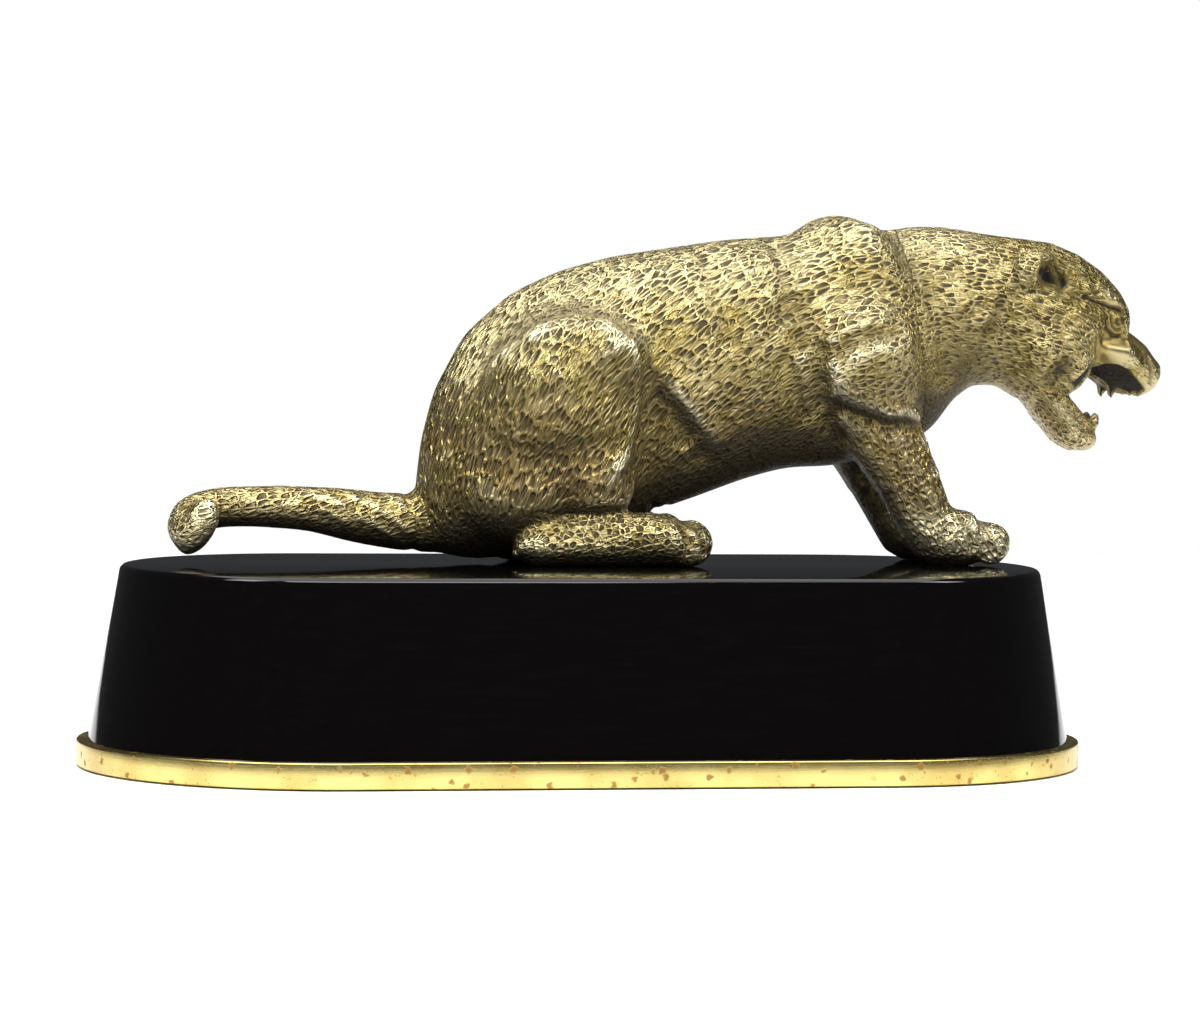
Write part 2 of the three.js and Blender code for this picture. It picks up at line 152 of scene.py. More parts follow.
def fused_clay():
    bm = bmesh.new()
    for muscle in MUSCLES:
        for row in mirrored(muscle):
            lump(bm, *row)
    lump(bm, *CORE_PLUG)
    lump(bm, *TAIL_CURL)
    for name in CASTINGS:
        bm.from_mesh(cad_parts[name + "_casting"].data)
    bmesh.ops.remove_doubles(bm, verts=bm.verts[:], dist=0.001 * MM)
    clay = object_from(bm, "clay")
    add_modifier(clay, "REMESH", mode="VOXEL", voxel_size=CLAY_VOXEL)
    return bake_modifiers(clay)


# Point layers: bare skin; darkening that is patina and painted shade; brightening that is wear polish and
# painted highlight
LAYERS = ["bare", "patina_and_shade", "rubbed"]


class Skin:
    """A mesh's points and normals as arrays in the cat's frame, with the brushes that model them."""

    def __init__(self, piece):
        self.piece = piece
        self.mesh = piece.data
        self.count = len(self.mesh.vertices)
        flat = np.empty(self.count * 3, np.float32)
        self.mesh.vertices.foreach_get("co", flat)
        self.at = (flat.reshape(-1, 3) - np.array(CAT_ORIGIN)) / UNIT
        edges = np.empty(len(self.mesh.edges) * 2, np.int32)
        self.mesh.edges.foreach_get("vertices", edges)
        self.a, self.b = edges.reshape(-1, 2).T
        self.degree = np.maximum(np.bincount(np.concatenate([self.a, self.b]), minlength=self.count), 1)
        for layer in LAYERS:
            values = np.zeros(self.count, np.float32)
            if layer in self.mesh.attributes:
                self.mesh.attributes[layer].data.foreach_get("value", values)
            setattr(self, layer, values.astype(float))
        self.refresh()

    def refresh(self):
        """Writes the points back and reads the normals again."""
        flat = (self.at * UNIT + np.array(CAT_ORIGIN)).astype(np.float32).ravel()
        self.mesh.vertices.foreach_set("co", flat)
        self.mesh.update()
        normals = np.empty(self.count * 3, np.float32)
        self.mesh.vertices.foreach_get("normal", normals)
        self.normal = normals.reshape(-1, 3).astype(float)

    def around(self, values):
        """The mean of each point's neighbours."""
        total = np.zeros_like(values)
        for axis in range(values.shape[1]):
            column = values[:, axis]
            total[:, axis] = np.bincount(self.a, column[self.b], self.count)
            total[:, axis] += np.bincount(self.b, column[self.a], self.count)
        return total / self.degree[:, None]

    def soften(self, rounds, share=0.6):
        """Smooths, with share a number or one per point."""
        share = np.broadcast_to(share, self.count)[:, None]
        for _ in range(rounds):
            self.at += (self.around(self.at) - self.at) * share
        self.refresh()

    def relief(self, rounds):
        """How far each point stands proud of its smoothed surroundings, less than 0 in a hollow."""
        calm = self.at.copy()
        for _ in range(rounds):
            calm += (self.around(calm) - calm) * 0.8
        return np.einsum("ij,ij->i", self.at - calm, self.normal)

    def lift(self, amount):
        self.at += self.normal * amount[:, None]

    def facing(self):
        return smoothstep(0.12, 0.45, np.abs(self.normal[:, 1]))

    def from_line(self, points):
        """Distance to a line seen from the side, the share along it, and +1 on its left, -1 on its right."""
        x, z = self.at[:, 0], self.at[:, 2]
        best = np.full(self.count, 1e9)
        share = np.zeros(self.count)
        hand = np.ones(self.count)
        spans = len(points) - 1
        for k, ((x0, z0), (x1, z1)) in enumerate(zip(points, points[1:])):
            dx, dz = x1 - x0, z1 - z0
            t = np.clip(((x - x0) * dx + (z - z0) * dz) / (dx * dx + dz * dz), 0, 1)
            gap = np.hypot(x - x0 - t * dx, z - z0 - t * dz)
            near = gap < best
            best = np.where(near, gap, best)
            share = np.where(near, (k + t) / spans, share)
            hand = np.where(near, np.sign(dx * (z - z0) - dz * (x - x0)), hand)
        return best, share, hand

    def stroke(self, points, width, height, left=0.0, right=0.0, patina_and_shade=0.0, sides=None):
        """A line on both flanks, raised, or cut where height is negative; left and right swell its sides, and
        its darkening is patina and painted shade along the line.
        """
        gap, share, hand = self.from_line(points)
        ends = smoothstep(0, 0.12, share) * smoothstep(1, 0.88, share)
        mask = ends * (self.facing() if sides is None else sides)
        line = np.exp(-((gap / width) ** 2))
        wide = np.where(hand > 0, left, right) * (np.exp(-((gap / (4 * width)) ** 2)) - line)
        self.lift((height * line + wide) * mask)
        self.patina_and_shade = np.maximum(self.patina_and_shade, patina_and_shade * line * mask)

    def under(self, points, reach, depth, patina_and_shade):
        """Sets back the band that lies under a line, as inside a lip, and darkens it with painted shade."""
        gap, share, hand = self.from_line(points)
        mask = smoothstep(0.2, 1.0, gap) * smoothstep(reach, reach - 1.5, gap) * (hand < 0)
        mask = mask * smoothstep(0, 0.08, share) * smoothstep(1, 0.95, share) * self.facing()
        self.lift(-depth * mask)
        self.patina_and_shade = np.maximum(self.patina_and_shade, patina_and_shade * mask)

    def dab(self, x, w, z, radius, height, bare=0.0, patina_and_shade=0.0):
        """A round swelling or hollow: on both flanks beyond w, or round the middle where w is 0; its
        darkening is patina and painted shade.
        """
        gap = np.hypot(self.at[:, 0] - x, self.at[:, 2] - z)
        if w:
            mask = self.facing() * smoothstep(w * 0.6, w * 0.8, np.abs(self.at[:, 1]))
        else:
            gap = np.hypot(gap, self.at[:, 1])
            mask = np.ones(self.count)
        soft = np.exp(-((gap / radius) ** 2)) * mask
        self.lift(height * soft)
        self.bare = np.maximum(self.bare, bare * smoothstep(1.3, 0.7, gap / radius) * mask)
        self.patina_and_shade = np.maximum(self.patina_and_shade, patina_and_shade * soft)

    def write(self):
        self.refresh()
        for name in LAYERS:
            if name not in self.mesh.attributes:
                self.mesh.attributes.new(name, "FLOAT", "POINT")
            self.mesh.attributes[name].data.foreach_set("value", getattr(self, name).astype(np.float32))


def smoothstep(low, high, value):
    t = np.clip((value - low) / (high - low), 0, 1)
    return t * t * (3 - 2 * t)


# ---- Modelled anatomy: strokes are [points seen from the side, width, height, left, right, darkening by patina and painted shade] ----
THIGH_EDGE = [
    (6, 18), (14.5, 31), (18.3, 46), (18.8, 57), (15.3, 67.5),
    (7, 75), (-4, 77), (-16, 73.5), (-28, 64), (-38, 49),
]
BODY_STROKES = [
    [THIGH_EDGE, 2.6, -1.2, 2.0, -2.0, 0.5],
    [[(12, 70), (22, 58.5), (31.5, 47), (44, 32)], 3.8, 1.0, 0.3, -1.5, 0],
    [[(18, 50), (25, 43), (32, 35)], 5.0, -1.0, 0, 0, 0.45],
    [[(30, 95), (30, 84), (33, 70)], 3.4, 0.4, 0, 0, 0],
    [[(37, 95), (38.5, 79), (42, 63)], 2.6, -1.0, 0, 0, 0.2],
    [[(48, 97), (49, 82), (52, 66)], 3.4, 0.5, 0, 0, 0],
    [[(59, 98), (60.5, 86), (60, 71)], 3.0, -1.1, 0, 0, 0.25],
    [[(70, 96), (75, 84), (78, 76)], 5.0, 0.5, 0, 0, 0],
    [[(83, 106), (91, 98), (95.5, 90), (101, 82), (104.5, 71), (107, 61), (107.5, 53), (105, 43)],
     2.8, 0.5, 0, 0.9, 0],
    [[(90, 106), (96, 98), (100.5, 90), (106, 81), (109.5, 71), (111, 61), (111, 52)],
     3.2, -1.3, -0.4, 0, 0.4],
    [[(73, 61), (78, 67), (86, 70), (96, 70.5)], 2.8, -1.5, 0, 0.2, 0.45],
    [[(70, 60), (72.5, 49), (81, 45.5), (90.5, 42.3), (97, 42.3), (104, 41)], 2.0, -1.5, 1.2, -0.4, 0.55],
    [[(71.5, 68), (69.5, 60), (71, 50), (75, 42), (80, 34)], 2.8, -1.6, 0.5, 0, 0.5],
    [[(61, 82), (64.5, 73), (66, 63)], 5.0, -1.4, 0, 0, 0.4],
    [[(58, 64), (63, 52), (69, 42)], 3.4, -0.9, 0, 0, 0.35],
    [[(-42, 30), (-38, 47), (-28, 60), (-16, 68)], 4.5, -1.0, 0, 0, 0.1],
    [[(-30, 22), (-18, 30), (-4, 34), (8, 32)], 5.0, -0.9, 0, 0, 0.2],
    [[(-26, 36), (-20, 50), (-8, 60)], 6.0, 0.6, 0, 0, 0],
    [[(112, 92), (118, 84), (121, 74)], 4.0, -0.8, 0, 0, 0.1],
]
TAIL_TUFTS = [
    [[(-70, 20), (-62, 17), (-54, 12), (-49, 8)], 1.5, 0.35, 0, -0.25, 0],
    [[(-69, 15), (-62, 12), (-54, 7)], 1.4, 0.35, 0, -0.25, 0],
    [[(-60, 22), (-54, 18), (-48, 12)], 1.4, 0.35, 0, -0.25, 0],
    [[(-80, 17), (-73, 14), (-66, 10)], 1.4, 0.3, 0, -0.25, 0],
    [[(-84, 21), (-76, 19), (-69, 16)], 1.4, 0.3, 0, -0.25, 0],
]
LEG_STROKES = [
    [[(-12, 17), (2, 18.5), (14, 19)], 2.4, 0.6, 0, 0, 0],
    [[(-16, 9), (-4, 10.5), (10, 9)], 3.0, -0.7, 0, 0, 0.3],
    [[(76, 46), (84, 33), (92, 20)], 3.0, 0.9, 0, 0, 0],
    [[(88, 42), (94, 31), (101, 20)], 2.6, -0.6, 0, 0, 0.3],
    [[(104, 40), (106.5, 32), (108, 26)], 2.5, 0.8, 0, 0, 0],
    [[(99, 22), (103, 17), (108, 12)], 2.6, -1.1, 0, 0, 0.6],
]
FRONT_TOE_GROOVES = [
    [(114, 16.5), (117, 11), (118.5, 4)],
    [(121, 16), (123.2, 9), (124, 3)],
]
HIND_TOE_GROOVES = [
    [(21, 18.5), (27, 14), (31, 5)],
    [(26.5, 17.5), (32.5, 11), (35.5, 3)],
]
# Toe grooves are darkened with patina and painted shade.
TOE_CUT = {"width": 1.3, "height": -1.0, "patina_and_shade": 0.7}
HEAD_STROKES = [
    [[(148, 91), (156, 87.6), (163, 82.5), (168.8, 77.8)], 1.6, 0.7, 0, -0.3, 0],
    [[(153, 82.5), (158, 80.3), (163, 78.4), (169.5, 77)], 0.75, -0.9, 0.3, 0, 0.95],
    [[(161.5, 76.5), (161.8, 72), (164.5, 69.6), (168, 69.8)], 0.6, -0.7, 0.3, 0, 0.9],
    [[(163.6, 76), (163.4, 73), (165, 71.6), (167.4, 72.2)], 0.45, -0.5, 0, 0, 0.85],
    [[(165.6, 75.2), (165.3, 73.6), (166.6, 73.2)], 0.45, -0.6, 0, 0, 0.95],
    [[(145, 84), (150, 83), (155, 80)], 2.2, -0.9, 0, 0, 0.35],
    [[(149, 78), (154.5, 74.5), (159, 70)], 3.0, 0.9, 0, 0, 0],
    [[(158, 66.2), (163, 65.3), (169, 64.5), (175.5, 58.5)], 2.4, 0.9, 0, 0, 0],
    [[(160, 69.5), (165, 68), (170, 68.5)], 1.5, -0.7, 0, 0, 0.3],
    [[(129, 81.5), (126.5, 75.5), (124.3, 69)], 2.2, -1.5, 0, 0, 0.6],
    [[(115, 79), (121, 81), (127.5, 83.3)], 1.3, 0.6, 0, -0.3, 0],
    [[(130, 77.4), (137, 77), (144, 75)], 1.1, 0.6, 0, -0.3, 0],
    [[(129, 72.6), (136, 72.2), (144, 70.5)], 1.1, 0.6, 0, -0.3, 0],
    [[(130, 67.6), (137, 67.3), (143, 65.6)], 1.1, 0.6, 0, -0.3, 0],
    [[(131, 62.6), (137, 62), (141, 60.3)], 1.0, 0.5, 0, -0.3, 0],
    [[(144, 54), (151.5, 49.2), (155.5, 45.2), (159.4, 42)], 0.9, 0.8, 0, -0.5, 0],
    [[(141, 50), (146, 45.5), (152, 39.5)], 2.2, -0.8, 0, 0, 0.4],
    [[(138, 83.5), (136.6, 89), (138.6, 93.2), (143.4, 93.6), (148, 90), (150, 86)], 1.2, 1.2, 0, 0, 0],
    [[(176.6, 64), (178, 59.5), (177.6, 54.5)], 0.8, -0.7, 0, 0, 0.6],
]
LIP_EDGE = [(157.5, 62.5), (159.5, 60.4), (162.5, 61.6), (166, 61.4), (170.5, 59.8), (174.7, 55.6), (177, 53)]
# Dabs are [x, w, z, radius, height, bare, darkening by patina and painted shade]; the darkest paint shade
# into the ears and mouth
HEAD_DABS = [
    [140.8, 9, 88.8, 2.8, -2.2, 0.9, 1],
    [143.6, 9, 88.2, 3.2, -3.6, 0.9, 1],
    [147.0, 9, 86.8, 2.6, -2.0, 0.9, 1],
    [142.5, 9, 88.4, 4.2, 0, 0.9, 1],
    [146.3, 8, 58.4, 4.2, -2.6, 0, 0.86],
    [143.6, 8, 56.2, 3.2, -1.0, 0, 0.72],
    [148.2, 8, 61.6, 2.8, -0.9, 0, 0.74],
    [125.5, 8, 70.5, 3.0, -1.4, 0, 0.5],
    [165.4, 5, 73.8, 2.6, 1.0, 1, 0],
    [151, 8, 72, 6.5, 0.7, 0.2, 0],
    [138, 8, 62, 6.5, 0.7, 0, 0],
    [159, 0, 54.5, 5.0, -1.4, 0.8, 0.95],
    [166, 0, 54.0, 5.0, -0.8, 0.8, 0.95],
    [152, 0, 48.0, 5.0, -2.0, 0.8, 0.9],
    [170, 0, 64, 10.5, 0, 1, 0],
    [164, 3, 66, 7.0, 0, 1, 0],
    [176, 0, 58, 8.0, 0, 1, 0],
    [159, 0, 39, 6.0, 0, 0.6, 0],
    [170.5, 0, 74, 4.5, -0.6, 0.8, 0.2],
    [165, 3, 79.5, 4.5, 0, 0.75, 0],
    [181.6, 1.5, 59, 0.9, -0.3, 1, 0.6],
    [165, 0, 53, 7.5, 0, 0.8, 0.95],
]
TAIL_ROOT_X = -50
SEAM_ROUNDS = 30  # how often the line between two castings is evened out
SEARCH_MARGIN = Vector((4, 4, 4)) * MM
QUAD_CORNERS = 4


def model(skin, strokes):
    for points, width, height, left, right, patina_and_shade in strokes:
        skin.stroke(points, width, height, left, right, patina_and_shade)
        skin.refresh()


def modelled_cat():
    """The whole cat in clay, softened and with its muscles, folds and toes."""
    clay = fused_clay()
    skin = Skin(clay)
    x, z = skin.at[:, 0], skin.at[:, 2]
    fine = np.maximum(smoothstep(124, 138, x), smoothstep(16, 9, z) * smoothstep(-30, -20, x))
    trunk = smoothstep(-50, -42, x) * smoothstep(104, 92, x) * smoothstep(16, 28, z)
    skin.soften(70, 0.8 * trunk)
    skin.soften(24, 0.6 * (1 - fine))
    skin.soften(4, 0.5)
    model(skin, BODY_STROKES)
    model(skin, LEG_STROKES)
    model(skin, TAIL_TUFTS)
    x, z = skin.at[:, 0], skin.at[:, 2]
    paws = smoothstep(104, 110, x) * smoothstep(24, 18, z)
    for points in FRONT_TOE_GROOVES:
        skin.stroke(points, **TOE_CUT, sides=paws)
    feet = smoothstep(16, 21, x) * smoothstep(44, 40, x) * smoothstep(24, 18, z)
    for points in HIND_TOE_GROOVES:
        skin.stroke(points, **TOE_CUT, sides=feet)
    skin.soften(40, 0.7 * np.exp(-(((x + 42) / 5) ** 2)) * smoothstep(22, 12, z))
    ring = (x - TAIL_ROOT_X) + 0.12 * (z - 12)
    skin.lift(-0.7 * np.exp(-((ring / 1.6) ** 2)) * smoothstep(-44, -48, x))
    skin.refresh()
    skin.soften(2, 0.4)
    relief = skin.relief(30)
    # Patina and painted shade darken the hollows.
    skin.patina_and_shade = np.maximum(skin.patina_and_shade, 0.68 * smoothstep(0.12, 0.9, -relief))
    # Painted shade: faces that turn downwards are darkened, except on the face.
    underside_shade = smoothstep(0.3, -0.5, skin.normal[:, 2]) * smoothstep(150, 110, x)
    skin.patina_and_shade = np.maximum(skin.patina_and_shade, 0.84 * underside_shade)
    # Wear polish and painted highlight: lighter on high points, painted highlight on upward faces of the back
    # and on the front paws; damped in the ear, on the low hindquarters and on the tail.
    ear = smoothstep(11, 6, np.hypot(x - 141, z - 91))
    top_highlight = smoothstep(0.15, 0.6, skin.normal[:, 2]) * smoothstep(40, 60, z) * smoothstep(132, 116, x)
    skin.rubbed = smoothstep(0.1, 0.7, relief) * (1 - 0.7 * smoothstep(120, 135, x)) * (1 - 0.7 * ear)
    low = smoothstep(26, 18, z) * smoothstep(-30, -20, x) * smoothstep(60, 50, x)
    tail = smoothstep(-44, -52, x)
    paw = smoothstep(20, 12, z) * smoothstep(92, 100, x)
    skin.rubbed = np.maximum(skin.rubbed * (1 - 0.6 * low) * (1 - 0.4 * tail), 0.2 * top_highlight)
    skin.rubbed = np.maximum(skin.rubbed, 0.45 * paw)
    skin.write()
    return skin


def casting_labels(skin):
    """For each face, the casting whose solid lies nearest."""
    graph = bpy.context.evaluated_depsgraph_get()
    trees = []
    for name in CASTINGS:
        low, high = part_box(name + "_casting")
        trees.append((BVHTree.FromObject(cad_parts[name + "_casting"], graph), low, high))
    votes = np.zeros((skin.count, len(CASTINGS)))
    for i, vertex in enumerate(skin.mesh.vertices):
        best, nearest = 1.0, 0
        for k, (tree, low, high) in enumerate(trees):
            p = vertex.co
            if any(p[j] < low[j] - SEARCH_MARGIN[j] or p[j] > high[j] + SEARCH_MARGIN[j] for j in range(3)):
                continue
            gap = tree.find_nearest(p)[3]
            if gap < best:
                best, nearest = gap, k
        votes[i, nearest] = 1
    for _ in range(SEAM_ROUNDS):
        votes = (votes + skin.around(votes)) / 2
    corner = np.empty(len(skin.mesh.loops), np.int32)
    skin.mesh.loops.foreach_get("vertex_index", corner)
    first = np.empty(len(skin.mesh.polygons), np.int32)
    skin.mesh.polygons.foreach_get("loop_start", first)
    return sum(votes[corner[first + step]] for step in range(QUAD_CORNERS)).argmax(1)


LAP = 0.9 * MM  # how deep a casting's rim turns in at a joint
CRUMB_FACES = 200


def crumbs(bm):
    """The faces of loose patches that are too small to be part of a casting."""
    found, waiting = [], set(bm.faces)
    while waiting:
        patch = [waiting.pop()]
        for face in patch:
            for edge in face.edges:
                beside = [other for other in edge.link_faces if other in waiting]
                waiting.difference_update(beside)
                patch.extend(beside)
        if len(patch) < CRUMB_FACES:
            found += patch
    return found


def cut_casting(skin, labels, k):
    """One casting's open shell."""
    bm = bmesh.new()
    bm.from_mesh(skin.mesh)
    outside = [face for face, label in zip(bm.faces, labels) if label != k]
    bmesh.ops.delete(bm, geom=outside, context="FACES")
    bmesh.ops.delete(bm, geom=crumbs(bm), context="FACES")
    pinched = [v for v in bm.verts if sum(e.is_boundary for e in v.link_edges) > 2]
    for vertex in pinched:
        bmesh.utils.vert_separate(vertex, [e for e in vertex.link_edges if e.is_boundary])
    return object_from(bm, CASTINGS[k] + "_cast")


FACE_X = place(137, 0, 0).x


def refine_face(piece):
    """Splits the faces of the muzzle, eyes, ears and jaws once more."""
    bm = bmesh.new()
    bm.from_mesh(piece.data)
    front = [e for e in bm.edges if min(v.co.x for v in e.verts) > FACE_X]
    bmesh.ops.subdivide_edges(bm, edges=front, cuts=1, use_grid_fill=True)
    bm.to_mesh(piece.data)
    bm.free()


def close_casting(piece, cat_surface):
    """Turns a shell's rim in and fills it."""
    bm = bmesh.new()
    bm.from_mesh(piece.data)
    bm.normal_update()
    rim = [e for e in bm.edges if e.is_boundary]
    turned = bmesh.ops.extrude_edge_only(bm, edges=rim)
    for vertex in [g for g in turned["geom"] if isinstance(g, bmesh.types.BMVert)]:
        vertex.co -= cat_surface.find_nearest(vertex.co)[1] * LAP
    bmesh.ops.holes_fill(bm, edges=[e for e in bm.edges if e.is_boundary], sides=0)
    bmesh.ops.triangulate(bm, faces=[f for f in bm.faces if len(f.verts) > 4])
    bmesh.ops.recalc_face_normals(bm, faces=bm.faces[:])
    bm.to_mesh(piece.data)
    bm.free()


# ---- Shader maths ----
class Value:
    """A shader socket that can be used in sums."""

    def __init__(self, graph, socket):
        self.graph, self.socket = graph, socket

    def __add__(self, other):
        return self.graph.math("ADD", self, other)

    def __sub__(self, other):
        return self.graph.math("SUBTRACT", self, other)

    def __mul__(self, other):
        return self.graph.math("MULTIPLY", self, other)

    def __truediv__(self, other):
        return self.graph.math("DIVIDE", self, other)

    def __radd__(self, other):
        return self.graph.math("ADD", other, self)

    def __rsub__(self, other):
        return self.graph.math("SUBTRACT", other, self)

    def __rmul__(self, other):
        return self.graph.math("MULTIPLY", other, self)


class Graph:
    """One material's nodes."""

    def __init__(self, name):
        self.material = bpy.data.materials.new(name)
        self.material.use_nodes = True
        self.nodes = self.material.node_tree.nodes
        self.links = self.material.node_tree.links
        self.nodes.clear()

    def node(self, kind, settings=None, output=0, **inputs):
        """Adds a node: its settings first, then its sockets, each a number, a colour or another Value.

        output is the number of the output that is wanted, or several numbers."""
        made = self.nodes.new("ShaderNode" + kind)
        for key, value in (settings or {}).items():
            setattr(made, key, value)
        for key, value in inputs.items():
            name = key.replace("_", " ")
            socket = made.inputs[int(key[1:])] if key[1:].isdigit() else made.inputs[name]
            self.feed(socket, value)
        if isinstance(output, tuple):
            return [Value(self, made.outputs[k]) for k in output]
        return Value(self, made.outputs[output])

    def feed(self, socket, value):
        if isinstance(value, Value):
            self.links.new(value.socket, socket)
        else:
            socket.default_value = value

    def math(self, operation, a, b=0.0, clamp=False):
        return self.node("Math", {"operation": operation, "use_clamp": clamp}, _0=a, _1=b)

    def between(self, value, low, high, to_low=0.0, to_high=1.0):
        settings = {"interpolation_type": "SMOOTHSTEP"}
        return self.node("MapRange", settings, Value=value, _1=low, _2=high, _3=to_low, _4=to_high)

    def mix(self, factor, a, b):
        return self.node("Mix", {"data_type": "RGBA"}, 2, _0=factor, _6=a, _7=b)

    def finish(self, shader):
        output = self.nodes.new("ShaderNodeOutputMaterial")
        self.links.new(shader.socket, output.inputs["Surface"])
        return self.material


def linear(red, green, blue):
    """A colour given in 255ths as the eye sees it."""
    return tuple(((c / 255 + 0.055) / 1.055) ** 2.4 if c > 10 else c / 3295 for c in (red, green, blue))


def rgba(red, green, blue):
    return (*linear(red, green, blue), 1)


# The palest brass is wear polish and painted highlight; the pit colour is patina and painted shade; the near
# black is painted shade.
POLISH_HIGHLIGHT_BRASS = rgba(242, 236, 204)
RIDGE_BRASS = rgba(204, 192, 140)
FLANK_BRASS = rgba(128, 113, 60)
WARM_BRASS = rgba(150, 102, 46)
PIT_PATINA_AND_SHADE = rgba(54, 43, 21)
DEEP_SHADE_BLACK = rgba(15, 12, 9)


def chased_brass(name, centre, mark_long, mark_wide, depth, spread=0.16):
    """Brass with punched fur marks that run in arcs around centre, a point seen from the side."""
    g = Graph(name)
    spot = g.node("TexCoord", output=3)
    x, y, z = g.node("SeparateXYZ", {}, (0, 1, 2), _0=spot)
    middle = place(centre[0], 0, centre[1])
    dx, dz = x - middle.x, z - middle.z
    radius = g.math("SQRT", dx * dx + dz * dz)
    turn = g.math("ARCTAN2", dz, dx)
    typical = (Vector(place(20, 0, 60)) - middle).length
    along = turn * (typical / (mark_long * MM))
    flow = g.node("CombineXYZ", _0=along, _1=radius / (mark_wide * MM), _2=y / (mark_wide * MM))
    wobble = g.node("TexNoise", {"noise_dimensions": "3D"}, 1, Vector=flow, Scale=0.55, Detail=2.0)
    centred = g.node("VectorMath", {"operation": "SUBTRACT"}, _0=wobble, _1=(0.5, 0.5, 0.5))
    pushed = g.node("VectorMath", {"operation": "MULTIPLY_ADD"}, _0=centred, _1=(0.8, 0.9, 0.9), _2=flow)
    border = g.node("TexVoronoi", {"feature": "DISTANCE_TO_EDGE"}, Vector=pushed, Scale=1.0, Randomness=0.8)
    tint = g.node("TexVoronoi", {"feature": "F1"}, 1, Vector=pushed, Scale=1.0, Randomness=0.8)
    heart = g.node("TexVoronoi", {"feature": "F1"}, 2, Vector=pushed, Scale=1.0, Randomness=0.8)
    across = g.node("VectorMath", {"operation": "SUBTRACT"}, _0=pushed, _1=heart)
    stroke_end = g.node("VectorMath", {"operation": "DOT_PRODUCT"}, 1, _0=across, _1=(1.0, 0.35, 0.0))
    chance = g.node("SeparateColor", {}, _0=tint)
    struck = g.between(chance, spread - 0.2, spread + 0.25)
    streak = g.node("VectorMath", {"operation": "MULTIPLY"}, _0=flow, _1=(0.8, 2.8, 2.8))
    hair = g.node("TexNoise", {}, 0, Vector=streak, Scale=1.0, Detail=3.0, Roughness=0.6)
    patch = g.node("TexNoise", {}, 0, Vector=spot, Scale=75.0, Detail=2.0)
    dent = g.node("TexNoise", {}, 0, Vector=spot, Scale=210.0, Detail=1.0)
    grain = g.node("TexNoise", {}, 0, Vector=spot, Scale=2600.0, Detail=2.0)
    bare = g.node("Attribute", {"attribute_name": "bare"}, 2)
    patina_and_shade = g.node("Attribute", {"attribute_name": "patina_and_shade"}, 2)
    rubbed = g.node("Attribute", {"attribute_name": "rubbed"}, 2)
    furred = 1 - bare
    driven = g.between(stroke_end, -0.6, 0.6, 1.15, 0.45)
    pit = g.between(border, 0.06, 0.25) * (0.4 + struck * 0.7) * furred * driven
    lines = (hair - 0.5) * (1 - bare * 0.85)
    height = lines * 0.5 - pit + dent * 0.5 * (1 - bare * 0.7) + grain * 0.02
    bump = g.node("Bump", {}, Height=height, Strength=1.0, Distance=depth * MM)
    # Patina and painted shade from the darkening layer, broken up by the hair streaks.
    patina_and_shade_dark = patina_and_shade * g.between(hair, 0.2, 0.6, 0.55, 1.0)
    # Pits keep dark patina, which also stands in as painted shade that the bump cannot cast; the painted
    # highlight lightens it.
    shade = pit * g.between(patch, 0.3, 0.65, 0.55, 1.0) - lines * 0.5 - rubbed * 0.25
    dark = g.math("MAXIMUM", g.between(shade, 0.15, 0.85, 0, 0.92), patina_and_shade_dark, True)
    # Share of the pale ridge colour: raised hair streaks and patches, plus painted highlight.
    ridge_and_highlight_share = g.math("ADD", rubbed * 0.6, g.between(lines + patch * 0.5, 0.1, 0.5) * (1 - bare * 0.55), True)
    base = g.mix(ridge_and_highlight_share, FLANK_BRASS, RIDGE_BRASS)
    # Painted highlight, with wear polish, toward the palest brass.
    polished_and_lit = g.mix(rubbed * 0.8, base, POLISH_HIGHLIGHT_BRASS)
    low = 0.1 + g.between(z, PLINTH_HIGH.z + 0.016, PLINTH_HIGH.z + 0.024) * g.between(
        z, PLINTH_HIGH.z + 0.06, PLINTH_HIGH.z + 0.035, 0, 0.2
    )
    warm = g.mix(g.between(patch - hair * 0.3, 0.15, 0.45) * low, polished_and_lit, WARM_BRASS)
    # Painted shade: the deepest darkening, in the mouth, ears, eye lines, under the lip and belly, turns near
    # black and matte.
    deep_shade = g.between(patina_and_shade, 0.7, 0.95)
    colour = g.mix(deep_shade * 0.9, g.mix(dark, warm, PIT_PATINA_AND_SHADE), DEEP_SHADE_BLACK)
    rough = 0.23 + bare * 0.13 + dark * 0.33 + grain * 0.06 - rubbed * 0.03 + deep_shade * 0.2
    metal = 1 - dark * 0.45 - deep_shade * 0.35
    shader = g.node("BsdfPrincipled", {}, Base_Color=colour, Metallic=metal, Roughness=rough, Normal=bump)
    return g.finish(shader)


def black_lacquer():
    g = Graph("black_lacquer")
    spot = g.node("TexCoord", output=3)
    grain_space = g.node("Mapping", {}, Vector=spot, Scale=(14.0, 160.0, 160.0))
    grain = g.node("TexNoise", {}, 0, Vector=grain_space, Scale=6.0, Detail=4.0)
    ripple = g.node("TexNoise", {}, 0, Vector=spot, Scale=55.0, Detail=1.0)
    dust = g.node("TexNoise", {}, 0, Vector=spot, Scale=900.0, Detail=3.0)
    colour = g.mix(g.between(grain, 0.45, 0.7), rgba(5, 4, 4), rgba(8, 6, 6))
    rough = 0.07 + g.between(dust, 0.5, 0.8) * 0.1
    bump = g.node("Bump", {}, Height=ripple + grain * 0.15, Strength=0.25, Distance=0.1 * MM)
    shader = g.node("BsdfPrincipled", {}, Base_Color=colour, Roughness=rough, Normal=bump, IOR=1.38)
    return g.finish(shader)


